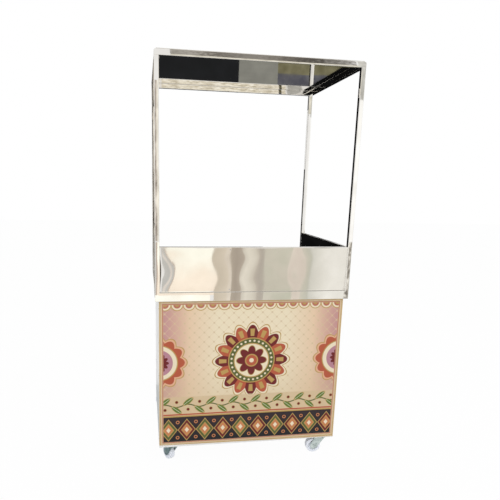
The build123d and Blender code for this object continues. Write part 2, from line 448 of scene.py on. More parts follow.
@dataclass(frozen=True)
class RivetAluminium(Finish):
    """Blind-rivet aluminium."""

    light: str = "#CDCECE"
    dark: str = "#A7A8A9"
    smooth: float = 0.25
    rough: float = 0.45
    mark_mm: float = 2.0

    def surface(self, tree: bpy.types.NodeTree) -> dict[int | str, Any]:
        """Draw the tool marks.

        Args:
            tree: The material's node tree.

        Returns:
            The surface shader's inputs.
        """
        marks = Signal(add_node(tree, "ShaderNodeTexNoise", {
            "Vector": self.measure(tree, self.mark_mm), "Scale": 1.0, "Detail": 3.0}).outputs[0])
        colour = add_node(tree, "ShaderNodeMix", {
            0: marks, 6: linear(self.light), 7: linear(self.dark)}, data_type="RGBA")
        gloss = marks * (self.rough - self.smooth) + self.smooth
        return {"Base Color": colour.outputs[2], "Metallic": 1.0, "Roughness": gloss}


class Ink(Enum):
    """The film's printing inks."""

    CREAM = "#EBDDC0"
    LATTICE = "#DAC79F"
    TAN = "#D4BC97"
    PEACH = "#DFAE8C"
    MAUVE = "#B68390"
    ROSE = "#B9705C"
    GOLD = "#BB9856"
    DARK_RED = "#6C1B1C"
    TERRACOTTA = "#B4573A"
    ORANGE = "#C87F50"
    LEAF = "#5E7833"
    OLIVE = "#59602F"
    BROWN = "#2C1F22"
    SOOT = "#131015"


Layer = tuple[Signal, Ink]


def nested(reach: Signal, *rings: tuple[Signal | float, Ink], soft: float = 1.0) -> list[Layer]:
    """Lay shapes one in another, each as far out as its edge and in its own ink."""
    return [(reach.below(edge, soft), ink) for edge, ink in rings]


@dataclass(frozen=True)
class Flower:
    """A ring of petals with round ends; root is where the petals part, bulge how far they reach past it."""

    petals: int
    root: float
    bulge: float

    def sway(self, turn: Signal) -> Signal:
        """Swing between 1 and -1 from petal to petal, by the turn about the flower's middle."""
        return (turn * (self.petals / 2)).apply("COSINE")

    def edge(self, sway: Signal) -> Signal:
        """Follow the petals' round ends."""
        return abs(sway) * self.bulge + self.root


@dataclass(frozen=True)
class PrintedFilm(Finish):
    """Digitally printed vinyl with a generic folk ornament.

    The sizes are millimetres on the board. Heights are from the board's lower edge, which is lower_edge up
    from the floor.
    """

    half_width: float
    height: float
    lower_edge: float
    foot_margin: float = 6.0
    smooth: float = 0.26
    rough: float = 0.38
    ripple_mm: float = 70.0
    ripple_depth_mm: float = 0.12
    peach_wash: tuple[float, float] = (170.0, 420.0)
    mauve_wash: tuple[float, float] = (300.0, 440.0)
    tan_wash: tuple[float, float] = (420.0, 190.0)
    lattice_pitch: float = 46.0
    lattice_line: float = 3.5
    lattice_dot: float = 6.5
    rosette_height: float = 430.0
    petals: Flower = Flower(16, 150.0, 34.0)
    heart: Flower = Flower(8, 46.0, 26.0)
    beads: int = 28
    bead_ring: float = 98.0
    bead_pitch: float = 21.0
    bead_radius: float = 5.0
    flame_ring: float = 140.0
    flame_length: float = 36.0
    side_petals: Flower = Flower(12, 108.0, 20.0)
    side_heart: Flower = Flower(12, 34.0, 12.0)
    garland_height: float = 212.0
    garland_width: float = 92.0
    leaf_pitch: float = 55.0
    leaf_half: tuple[float, float] = (27.0, 10.5)
    leaf_slant: float = 38.0
    leaf_rise: float = 21.0
    berry_drop: float = 19.0
    stem_sway: float = 7.0
    dado_height: float = 158.0
    diamond_pitch: float = 88.0
    diamond_half: float = 58.0
    diamond_lift: float = 8.0
    dot_rise: float = 40.0
    scallop_pitch: float = 55.0
    scallop_drop: float = 20.0

    def surface(self, tree: bpy.types.NodeTree) -> dict[int | str, Any]:
        """Paint the ornament's layers in order and add the laminate's gloss.

        Args:
            tree: The material's node tree.

        Returns:
            The surface shader's inputs.
        """
        place = add_node(tree, "ShaderNodeSeparateXYZ", {0: self.measure(tree, 1.0)})
        across = Signal(place.outputs[0])
        up = Signal(place.outputs[2]) - self.lower_edge
        layers = self.field(across, up) + self.side_rosettes(across, up) + self.rosette(across, up)
        layers += self.garland(across, up) + self.dado(across, up) + self.border(across, up)
        colour: Any = linear(Ink.CREAM.value)
        for mask, ink in layers:
            painted = add_node(tree, "ShaderNodeMix", {0: mask, 6: colour, 7: linear(ink.value)},
                               data_type="RGBA")
            colour = painted.outputs[2]
        ripple = Signal(add_node(tree, "ShaderNodeTexNoise", {
            "Vector": self.measure(tree, self.ripple_mm), "Scale": 1.0, "Detail": 2.0}).outputs[0])
        bump = add_node(tree, "ShaderNodeBump", {
            "Height": ripple, "Distance": self.ripple_depth_mm * MM, "Strength": 0.6})
        gloss = ripple * (self.rough - self.smooth) + self.smooth
        return {"Base Color": colour, "IOR": 1.5, "Specular IOR Level": 0.3, "Roughness": gloss,
                "Normal": bump.outputs[0]}

    def field(self, across: Signal, up: Signal) -> list[Layer]:
        """Wash the cream field to peach and mauve at its sides, under a tone-on-tone lattice.

        Args:
            across: The place across the board.
            up: The height on the board.

        Returns:
            Masks with their inks, lowest first.
        """
        aside = abs(across)
        first = (across + up).tile(self.lattice_pitch)
        second = (across - up).tile(self.lattice_pitch)
        lines = first.band(0, self.lattice_line) | second.band(0, self.lattice_line)
        dots = first.distance(second).below(self.lattice_dot)
        return [(aside.rise(*self.peach_wash) * 0.9, Ink.PEACH),
                (aside.rise(*self.mauve_wash) * 0.85, Ink.MAUVE),
                (up.rise(*self.tan_wash) * 0.55, Ink.TAN),
                (lines * 0.45, Ink.LATTICE), (dots * 0.7, Ink.TAN)]

    def rosette(self, across: Signal, up: Signal) -> list[Layer]:
        """Draw the large rosette with its beads and its heart.

        Args:
            across: The place across the board.
            up: The height on the board.

        Returns:
            Masks with their inks, lowest first.
        """
        rise = up - self.rosette_height
        far = across.distance(rise)
        turn = rise.apply("ARCTAN2", across)
        sway = self.petals.sway(turn)
        edge = self.petals.edge(sway)
        heart = self.heart.edge(self.heart.sway(turn))
        bead_turn = (turn / (2 * math.pi) * self.beads).apply("FRACT") - 0.5
        bead = (bead_turn * self.bead_pitch).distance(far - self.bead_ring)
        flame = far.band(self.flame_ring, self.flame_length) * abs(sway).rise(0.80, 0.9)
        layers = nested(far, (edge + 8.0, Ink.GOLD), (edge + 2.5, Ink.CREAM), (edge - 7.0, Ink.DARK_RED))
        layers += [(far.below(edge - 7.0) * sway.below(0.0, 0.02), Ink.TERRACOTTA), (flame, Ink.GOLD)]
        layers += nested(far, (114.0, Ink.GOLD), (109.0, Ink.OLIVE))
        layers += nested(bead, (self.bead_radius, Ink.CREAM))
        return layers + nested(
            far, (87.0, Ink.GOLD), (82.0, Ink.CREAM), (heart + 4.0, Ink.GOLD), (heart, Ink.DARK_RED),
            (32.0, Ink.GOLD), (26.0, Ink.TERRACOTTA), (11.0, Ink.CREAM))

    def side_rosettes(self, across: Signal, up: Signal) -> list[Layer]:
        """Draw half a smaller rosette at each side edge.

        Args:
            across: The place across the board.
            up: The height on the board.

        Returns:
            Masks with their inks, lowest first.
        """
        aside = abs(across) - self.half_width
        rise = up - self.rosette_height
        far = aside.distance(rise)
        sway = self.side_petals.sway(rise.apply("ARCTAN2", aside))
        edge = self.side_petals.edge(sway)
        return nested(
            far, (edge + 6.0, Ink.GOLD), (edge + 1.0, Ink.PEACH), (edge - 8.0, Ink.TERRACOTTA),
            (88.0, Ink.GOLD), (83.0, Ink.CREAM), (64.0, Ink.MAUVE),
            (self.side_heart.edge(sway), Ink.DARK_RED), (20.0, Ink.GOLD))

    def garland(self, across: Signal, up: Signal) -> list[Layer]:
        """Draw a leafy band on a waved stem, with berries between its leaves.

        Args:
            across: The place across the board.
            up: The height on the board.

        Returns:
            Masks with their inks, lowest first.
        """
        along = across.tile(self.leaf_pitch)
        flip = across.odd(self.leaf_pitch) * 2.0 - 1.0
        stem = (across * (math.pi / self.leaf_pitch)).apply("SINE") * self.stem_sway + self.garland_height
        above = (up - self.garland_height) * flip
        rise = above - self.leaf_rise
        slant = math.radians(self.leaf_slant)
        lengthwise = (along * math.cos(slant) + rise * math.sin(slant)) / self.leaf_half[0]
        crosswise = (rise * math.cos(slant) - along * math.sin(slant)) / self.leaf_half[1]
        leaf = lengthwise.distance(crosswise)
        vein = leaf.below(1.0, 0.06) * crosswise.band(0, 0.16, 0.08)
        berry = along.distance(above + self.berry_drop)
        band = up.band(self.garland_height, self.garland_width, 6.0)
        layers = [(band * 0.85, Ink.TAN), (up.band(stem, 6.0), Ink.OLIVE)]
        layers += nested(leaf, (1.14, Ink.GOLD), (1.0, Ink.LEAF), soft=0.06)
        return layers + [(vein, Ink.CREAM)] + nested(berry, (8.5, Ink.GOLD), (6.5, Ink.DARK_RED))

    def dado(self, across: Signal, up: Signal) -> list[Layer]:
        """Draw the dark lower band with its row of diamonds.

        Args:
            across: The place across the board.
            up: The height on the board.

        Returns:
            Masks with their inks, lowest first.
        """
        gap = self.diamond_pitch / 2
        dark = up.below(self.dado_height)
        along = abs(across.tile(self.diamond_pitch))
        rise = abs(up - (self.dado_height / 2 + self.diamond_lift))
        diamond = along / gap + rise / self.diamond_half
        every_second = diamond.below(0.9, 0.03) * across.odd(self.diamond_pitch)
        dot = (along - gap).distance(rise - self.dot_rise)
        layers = [(dark, Ink.BROWN), (dark * up.rise(130, 40), Ink.SOOT)]
        layers += nested(diamond, (1.0, Ink.GOLD), (0.9, Ink.OLIVE), soft=0.03)
        layers += [(every_second, Ink.DARK_RED)]
        layers += nested(diamond, (0.62, Ink.GOLD), (0.52, Ink.ORANGE), (0.24, Ink.CREAM), soft=0.03)
        layers += nested(dot, (9.0, Ink.ORANGE), (5.0, Ink.BROWN))
        return layers + [(up.band(self.dado_height, 7.0), Ink.GOLD),
                         (up.band(self.dado_height + 9.0, 7.0), Ink.TERRACOTTA)]

    def border(self, across: Signal, up: Signal) -> list[Layer]:
        """Draw the edge lines and a row of scallops under the upper edge.

        Args:
            across: The place across the board.
            up: The height on the board.

        Returns:
            Masks with their inks, lowest first.
        """
        side = abs(across) * -1.0 + self.half_width
        top = up * -1.0 + self.height
        edge = side.apply("MINIMUM", top).apply("MINIMUM", up - self.foot_margin)
        scallop = across.tile(self.scallop_pitch).distance(top - self.scallop_drop)
        under = top.rise(self.scallop_drop - 1.0, self.scallop_drop + 1.0)
        rounds = nested(scallop, (29.0, Ink.GOLD), (25.0, Ink.CREAM), (17.0, Ink.ROSE), (9.0, Ink.GOLD))
        return [(mask * under, ink) for mask, ink in rounds] + [
            (edge.below(20.0), Ink.TAN), (edge.band(17.0, 4.0), Ink.ROSE), (edge.band(5.0, 3.0), Ink.GOLD)]


def board_print() -> PrintedFilm:
    """Describe the film, as wide and as high as the front board.

    Returns:
        The finish.
    """
    low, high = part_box("front_panel")
    # Digitally printed vinyl: warm inks under a thin gloss laminate that ripples a little.
    return PrintedFilm("printed_vinyl_film", half_width=high.x / MM, height=(high.z - low.z) / MM,
                       lower_edge=low.z / MM)


# Bright zinc plate: a cool, grey-green metal with a fine crystalline clouding.
ZINC = ZincPlate("bright_zinc_plate")
# Moulded nylon: bluish white and waxy, with a grey bloom where it has rolled on a floor.
NYLON = MouldedNylon("moulded_white_nylon")
# Lacquered composite board: clean white, semi-gloss, with a faint orange peel.
BOARD = CompositeBoard("white_composite_board")
# Blind-rivet aluminium: pale, soft and slightly dulled by the setting tool.
RIVET = RivetAluminium("aluminium_blind_rivet")


class SubAssembly:
    """A group of pieces that is built and dressed together."""

    def place(self, name: str, shape: bmesh.types.BMesh, finish: Finish, slot: str, *replaced: str,
              body: str = "frame") -> bpy.types.Object:
        """Turn a shape into a finished piece on its body.

        Args:
            name: The piece's name.
            shape: The mesh, in the part's frame; it is freed.
            finish: The surface finish.
            slot: The record's material slot; not used.
            replaced: CAD nodes that the piece stands for.
            body: The CAD body that the piece moves with.

        Returns:
            The new object.
        """
        mesh = bpy.data.meshes.new(name)
        bmesh.ops.recalc_face_normals(shape, faces=shape.faces)
        for face in shape.faces:
            face.smooth = True
        shape.to_mesh(mesh)
        shape.free()
        piece = bpy.data.objects.new(name, mesh)
        bpy.context.scene.collection.objects.link(piece)
        mesh.materials.append(finish.material())
        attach(piece, body)
        if replaced:
            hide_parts(*replaced)
        log.info("%s on %s: %d faces, %s", name, body, len(mesh.polygons), finish.name)
        return piece

    def dress(self, finish: Finish, *nodes: str) -> None:
        """Give CAD nodes a finish.

        Args:
            finish: The surface finish.
            nodes: The nodes' names.
        """
        for node in nodes:
            slots = frame["nodes"][node].data.materials
            slots.clear()
            slots.append(finish.material())
            log.info("%s dressed with %s", node, finish.name)

    def smooth_normals(self, piece: bpy.types.Object, sharp_degrees: float = 35.0) -> None:
        """Keep flats flat beside rounded edges.

        Args:
            piece: The object to shade.
            sharp_degrees: Edges that turn by more than this stay sharp.
        """
        piece.data.set_sharp_from_angle(angle=math.radians(sharp_degrees))
        piece.modifiers.new("flat_faces", "WEIGHTED_NORMAL").keep_sharp = True

    def skin(self, rows: Sequence[Sequence[Vector]], shape: bmesh.types.BMesh, closed: bool = False) -> None:
        """Join rows of points into a skin of quads.

        Args:
            rows: Rows of equal length.
            shape: The mesh that gets the faces.
            closed: Whether each row's end joins its start.
        """
        made = [[shape.verts.new(point) for point in row] for row in rows]
        for lower, upper in zip(made, made[1:]):
            count = len(lower)
            for index in range(count if closed else count - 1):
                after = (index + 1) % count
                shape.faces.new((lower[index], lower[after], upper[after], upper[index]))
        if closed:
            shape.faces.new(list(reversed(made[0])))
            shape.faces.new(made[-1])

    def turned(self, outline: Sequence[tuple[float, float]], centre: Vector, axis: Vector,
               steps: int = 48) -> bmesh.types.BMesh:
        """Turn a closed outline about an axis.

        Args:
            outline: Points as millimetres along the axis and out from it.
            centre: A point on the axis that the outline is measured from.
            axis: The axis.
            steps: How many times the outline is repeated round the axis.

        Returns:
            The turned mesh.
        """
        shape = bmesh.new()
        out = axis.orthogonal().normalized()
        corners = [shape.verts.new(centre + axis * (along * MM) + out * (far * MM)) for along, far in outline]
        edges = [shape.edges.new(pair) for pair in zip(corners, corners[1:] + corners[:1])]
        bmesh.ops.spin(shape, geom=corners + edges, cent=centre, axis=axis, angle=2 * math.pi,
                       steps=steps, use_merge=True)
        bmesh.ops.remove_doubles(shape, verts=shape.verts, dist=HAIR)
        return shape

    def rivet_heads(self, spots: Sequence[Vector], outward: Vector, radius_mm: float) -> bmesh.types.BMesh:
        """Make domed blind-rivet heads with the dimple that the mandrel leaves.

        Args:
            spots: The heads' centres on the surface.
            outward: The surface's normal.
            radius_mm: The head's radius.

        Returns:
            All the heads in one mesh.
        """
        rim, dome, crest, dimple = (radius_mm * share for share in (0.86, 0.6, 0.4, 0.3))
        outline = [(0.0, 0.05), (0.0, radius_mm), (0.3, radius_mm), (0.75, rim), (1.05, dome), (1.1, crest),
                   (0.6, dimple), (0.6, 0.05)]
        heads = bmesh.new()
        for spot in spots:
            head = self.turned(outline, spot, outward.normalized(), 16)
            mesh = bpy.data.meshes.new("head")
            head.to_mesh(mesh)
            head.free()
            heads.from_mesh(mesh)
            bpy.data.meshes.remove(mesh)
        return heads


@dataclass
class TubeFrame(SubAssembly):
    """The polished box tubes: posts mitred into the front and rear rims, with the roof rails over them."""

    corner_mm: float = 1.0
    side_rail_corner_mm: float = 0.3
    corner_steps: int = 4
    crown_mm: float = 0.02
    roof_crown_mm: float = 0.12
    crown_steps: int = 6
    roof_corner_mm: float = 9.0
    roof_corner_steps: int = 6

    def outline(self, wide: float, tall: float, crown_mm: float,
                corner_mm: float) -> list[tuple[float, float]]:
        """Draw a tube's section with rounded corners and faces that are a little crowned, as rolled tube is.

        Args:
            wide: The section's width in metres.
            tall: Its height in metres.
            crown_mm: How far the middle of each face stands out.
            corner_mm: The radius of its corners.

        Returns:
            Points round the section from its middle.
        """
        radius = corner_mm * MM
        plain: list[Vector] = []
        for quarter, (sign_x, sign_y) in enumerate(((1, 1), (-1, 1), (-1, -1), (1, -1))):
            centre = Vector((sign_x * (wide / 2 - radius), sign_y * (tall / 2 - radius)))
            for step in range(self.corner_steps + 1):
                turn = math.pi / 2 * (quarter + step / self.corner_steps)
                plain.append(centre + Vector((math.cos(turn), math.sin(turn))) * radius)
        points = []
        for index, point in enumerate(plain):
            points.append(point)
            if index % (self.corner_steps + 1) == self.corner_steps:
                after = plain[(index + 1) % len(plain)]
                points += [point.lerp(after, step / self.crown_steps) for step in range(1, self.crown_steps)]
        crown = 2 * crown_mm * MM
        return [(point.x * (1 - crown / wide * (2 * point.y / tall) ** 2),
                 point.y * (1 - crown / tall * (2 * point.x / wide) ** 2)) for point in points]

    def ends(self, half_tall: float, rounded: bool) -> list[tuple[int, float, float]]:
        """List where a tube's sections stand, from its start to its end.

        Args:
            half_tall: Half the tube's height in metres.
            rounded: Whether the upper corners of its ends are ground round.

        Returns:
            For each section its end, how far it stands in from there, and how much of its height is left.
        """
        if not rounded:
            return [(-1, 0.0, 1.0), (1, 0.0, 1.0)]
        radius = self.roof_corner_mm * MM
        arc = []
        for step in range(self.roof_corner_steps + 1):
            turn = math.pi / 2 * step / self.roof_corner_steps
            arc.append((radius * (1 - math.cos(turn)), 1 - radius * (1 - math.sin(turn)) / (2 * half_tall)))
        return [(-1, *place) for place in arc] + [(1, *place) for place in reversed(arc)]

    def tube(self, node: str, run: Run, corner_mm: float,
             mitre: Callable[[Vector], tuple[float, float]] | None = None, rounded: bool = False) -> None:
        """Make one tube in a node's place.

        Args:
            node: The CAD node.
            run: The tube's long way.
            corner_mm: The radius of its section's corners.
            mitre: How far each end is cut back, by place from the tube's middle; square ends without it.
            rounded: Whether the upper corners of its ends are ground round, as the roof's are.
        """
        low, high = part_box(node)
        middle, half = (low + high) / 2, (high - low) / 2
        others = [axis for axis in range(3) if axis != run.value]
        section = []
        crown_mm = self.roof_crown_mm if rounded else self.crown_mm
        for pair in self.outline(2 * half[others[0]], 2 * half[others[1]], crown_mm, corner_mm):
            place = Vector((0, 0, 0))
            place[others[0]], place[others[1]] = pair
            section.append(place)
        rows = []
        for end, inset, left in self.ends(half.z, rounded):
            row = []
            for place in section:
                cut = mitre(place)[end > 0] if mitre else inset
                point = place.copy()
                point.z = (place.z + half.z) * left - half.z
                point[run.value] = end * (half[run.value] - cut)
                row.append(middle + point)
            rows.append(row)
        shape = bmesh.new()
        self.skin(rows, shape, closed=True)
        piece = self.place(f"{node}_tube", shape, polished_tube(run), "polished_stainless_tube", node)
        self.smooth_normals(piece)

    def build(self) -> None:
        """Make every polished tube."""
        low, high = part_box("counter_rim_front")
        rim_tall, rim_wide = high.z - low.z, high.y - low.y
        for corner in Corner:
            outward = -1 if corner.value.endswith("left") else 1
            self.tube(f"post_{corner.value}", Run.UP, self.corner_mm,
                      lambda place, outward=outward: (rim_tall * (0.5 - outward * place.x / rim_wide), 0.0))
        for side in (Side.FRONT, Side.REAR):
            name = side.name.lower()
            self.tube(f"roof_rail_{name}", Run.ACROSS, self.corner_mm, rounded=True)
            self.tube(f"counter_rim_{name}", Run.ACROSS, self.corner_mm,
                      lambda place: (rim_wide * (0.5 + place.z / rim_tall),) * 2)
        for side in (Side.LEFT, Side.RIGHT):
            name = side.name.lower()
            self.tube(f"roof_rail_{name}", Run.DEEP, self.side_rail_corner_mm)
            self.tube(f"counter_rim_{name}", Run.DEEP, self.corner_mm)


@dataclass
class SheetWork(SubAssembly):
    """The polished sheets: roof, worktop and the folded guards, each a little wavy as thin sheet is.

    Sizes that end in mm are millimetres. The dents' places and lengths are metres along a guard and shares
    of its height, and a dish is a depth in millimetres and a reach in metres.
    """

    sheet_mm: float = 1.2
    bend_mm: float = 2.7
    bend_steps: int = 4
    foot_mm: float = 16.0
    return_mm: float = 12.0
    rail_mm: float = 20.0
    easing_mm: float = 120.0
    level_grid: tuple[int, int] = (48, 36)
    guard_grid: tuple[int, int] = (144, 20)
    roof_sag_mm: float = 0.25
    worktop_sag_mm: float = 0.8
    dent_mm: float = 0.3
    dent_length: float = 0.278
    dent_middle: tuple[float, float] = (-0.102, 0.55)
    knock_mm: float = 0.8
    knock_middle: tuple[float, float] = (0.2, 0.38)
    knock_size: tuple[float, float] = (0.045, 0.26)
    held_end: float = 0.06
    left_dish: tuple[float, float] = (5.0, 0.115)
    end_dish: tuple[float, float] = (0.7, 0.008)
    rivet_radius_mm: float = 2.6
    rivet_across_mm: float = -120.0
    rivet_inset_mm: float = 13.0
    rivet_share: float = 0.6

    def thicken(self, piece: bpy.types.Object) -> None:
        """Give a skin the sheet's thickness behind its face.

        Args:
            piece: The object whose mesh is the face.
        """
        solid = piece.modifiers.new("sheet", "SOLIDIFY")
        solid.thickness = self.sheet_mm * MM
        solid.offset = -1.0

    def level_sheet(self, node: str, name: str, sag: Callable[[float, float], float]) -> None:
        """Make a level sheet that lies flat on the rails along its edges and sags between them.

        Args:
            node: The CAD node it stands for.
            name: The piece's name.
            sag: How far it sinks, in millimetres, by place from 0 to 1 across and deep.
        """
        low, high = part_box(node)
        columns, lines = self.level_grid
        rows = []
        for line in range(lines + 1):
            deep = low.y + (high.y - low.y) * line / lines
            points = []
            for column in range(columns + 1):
                across = low.x + (high.x - low.x) * column / columns
                edge = min(across - low.x, high.x - across, deep - low.y, high.y - deep) / MM
                hold = ease((edge - self.rail_mm) / self.easing_mm)
                sink = sag(column / columns, line / lines) * hold * MM
                points.append(Vector((across, deep, high.z - sink)))
            rows.append(points)
        shape = bmesh.new()
        self.skin(rows, shape)
        piece = self.place(name, shape, MIRROR_SHEET, "mirror_stainless_sheet", node)
        self.thicken(piece)

    def roof_sag(self, across: float, deep: float) -> float:
        """Sink the roof sheet in slow waves."""
        wave = 0.6 + 0.25 * math.cos(2.1 * math.tau * across + 0.8) + 0.15 * math.cos(1.7 * math.tau * deep)
        return self.roof_sag_mm * wave

    def worktop_sag(self, across: float, deep: float) -> float:
        """Sink the worktop on both sides of its stiffener."""
        wave = abs(math.sin(math.tau * across)) * (0.7 + 0.3 * math.cos(1.4 * math.tau * deep))
        return self.worktop_sag_mm * wave

    def fold(self, tall: float, inset: float = 0.0) -> list[tuple[float, float]]:
        """Follow a guard's section from its foot over its face to its return.

        Args:
            tall: The guard's height in millimetres.
            inset: How far inside the outer skin to go, in millimetres.

        Returns:
            Points as depth behind the face and height above the rim.
        """
        lower, upper = self.bend_mm, tall - self.bend_mm
        radius = self.bend_mm - inset
        lines = self.guard_grid[1]
        points = [(self.foot_mm, inset)]
        for middle, start in ((lower, -90.0), (upper, 180.0)):
            for step in range(self.bend_steps + 1):
                turn = math.radians(start - 90.0 * step / self.bend_steps)
                points.append((self.bend_mm + radius * math.cos(turn), middle + radius * math.sin(turn)))
            if middle == lower:
                points += [(inset, lower + (upper - lower) * line / lines) for line in range(1, lines)]
        return points + [(self.return_mm, tall - inset)]

    def dent(self, along: float, rise: float) -> float:
        """Say how far thin sheet stands back from flat: slow waves and one knock.

        Args:
            along: Metres along the guard from its middle.
            rise: Height on the face from 0 to 1.

        Returns:
            The depth of the dent in millimetres.
        """
        at, height = self.dent_middle
        wave = 1 + math.sin(math.tau * (rise - height)) * math.cos(math.tau * (along - at) / self.dent_length)
        offsets = zip((along, rise), self.knock_middle, self.knock_size)
        knock = math.exp(-sum(((place - middle) / size) ** 2 for place, middle, size in offsets))
        return (self.dent_mm * wave + self.knock_mm * knock) * ease(4 * min(rise, 1 - rise))

    def dish(self, left: float, rise: float) -> float:
        """Say how far a guard's left end bends back where it is held.

        Args:
            left: Metres from the guard's left end.
            rise: Height on the face from 0 to 1.

        Returns:
            The depth of the bend in millimetres.
        """
        belly = 0.38 - 0.16 * rise + 0.7 * math.sin(math.pi * rise) ** 2
        slow, sharp = (depth * max(0.0, 1 - left / reach) ** 2
                       for depth, reach in (self.left_dish, self.end_dish))
        return slow * belly + sharp

    def guard(self, side: Side) -> None:
        """Fold one guard with its closed ends; the front one's folds turn in, the others' turn out.

        Args:
            side: The side that it stands on.
        """
        node = f"{side.name.lower()}_guard"
        low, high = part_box(node)
        tall = (high.z - low.z) / MM
        turn = Matrix.Rotation(math.radians(side.value), 3, "Z")
        if side is Side.FRONT:
            face, way, half_run = -low.y, 1, high.x
        else:
            face, way, half_run = min(abs(low.x), abs(high.x)), -1, high.y

        def spot(along: float, depth: float, rise: float) -> Vector:
            """Place a point by metres along, millimetres behind the face and millimetres up."""
            return turn @ Vector((along, way * depth * MM - face, low.z + rise * MM))

        outer = self.fold(tall)
        ring = outer + self.fold(tall, self.sheet_mm)[::-1]
        wall = self.sheet_mm * MM
        columns = self.guard_grid[0]
        rows = []
        for column in range(columns + 1):
            along = (half_run - wall / 2) * (2 * column / columns - 1)
            hold = max(0.0, min(1.0, (half_run - abs(along)) / self.held_end))
            row = []
            for depth, rise in ring:
                give = self.dent(along, rise / tall) * hold + self.dish(half_run + along, rise / tall)
                row.append(spot(along, depth + give, rise))
            rows.append(row)
        shape = bmesh.new()
        self.skin(rows, shape, closed=True)
        cap = outer + [(self.foot_mm, tall)]
        for inner, ending in ((-half_run + wall, -half_run), (half_run - wall, half_run)):
            ends = [[spot(along, *point) for point in cap] for along in (inner, ending)]
            self.skin(ends, shape, closed=True)
        piece = self.place(f"{node}_sheet", shape, MIRROR_SHEET, "mirror_stainless_sheet", node)
        piece.data.materials.append(SHEET_BACK.material())
        for polygon in piece.data.polygons[:columns * len(ring)]:
            polygon.material_index = int(polygon.index % len(ring) >= len(outer))
        self.smooth_normals(piece)
        if side is Side.FRONT:
            at = self.rivet_across_mm * MM
            spots = [spot(at, 0.0, rise) for rise in (self.rivet_inset_mm, tall - self.rivet_inset_mm)]
            outward = turn @ Vector((0, -1, 0))
        else:
            at = self.rivet_share * half_run
            foot = self.rivet_share * self.foot_mm
            spots = [spot(along, foot, self.sheet_mm) for along in (-at, 0.0, at)]
            outward = Vector((0, 0, 1))
        heads = self.rivet_heads(spots, outward, self.rivet_radius_mm)
        self.place(f"{node}_rivets", heads, RIVET, "polished_stainless_tube")

    def build(self) -> None:
        """Make the roof, the worktop and the guards."""
        self.level_sheet("roof_sheet", "roof_skin", self.roof_sag)
        self.level_sheet("worktop_sheet", "worktop_skin", self.worktop_sag)
        for side in (Side.FRONT, Side.LEFT, Side.RIGHT):
            self.guard(side)


@dataclass
class BoardedBase(SubAssembly):
    """The base: boards with the printed film, tube frame, deck and shelf."""

    rivet_rows: int = 5
    rivet_radius_mm: float = 3.2
    rivet_inset_mm: float = 10.0
    rivet_end_mm: float = 40.0

    def board_rivets(self, side: Side) -> None:
        """Fix a side board to the legs with two columns of rivets.

        Args:
            side: The board's side.
        """
        name = side.name.lower()
        low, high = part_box(f"{name}_panel")
        outward = Vector((1 if side is Side.RIGHT else -1, 0, 0))
        face = high.x if side is Side.RIGHT else low.x
        span = high.z - low.z - 2 * self.rivet_end_mm * MM
        spots = []
        for deep in (low.y + self.rivet_inset_mm * MM, high.y - self.rivet_inset_mm * MM):
            for row in range(self.rivet_rows):
                height = low.z + self.rivet_end_mm * MM + span * row / (self.rivet_rows - 1)
                spots.append(Vector((face, deep, height)))
        heads = self.rivet_heads(spots, outward, self.rivet_radius_mm)
        self.place(f"{name}_board_rivets", heads, RIVET, "white_board")

    def build(self) -> None:
        """Dress the base and rivet its boards."""
        nodes = sorted(frame["nodes"])
        self.dress(BOARD, *[node for node in nodes if node.endswith("_panel")])
        self.dress(board_print(), "front_print_film")
        self.dress(SATIN_SHEET, "bottom_deck", "middle_shelf")
        self.dress(MILL_TUBE, "castor_pads", "worktop_stiffener",
                   *[node for node in nodes if node.startswith(("base_", "shelf_bearer"))])
        for side in (Side.LEFT, Side.RIGHT):
            self.board_rivets(side)


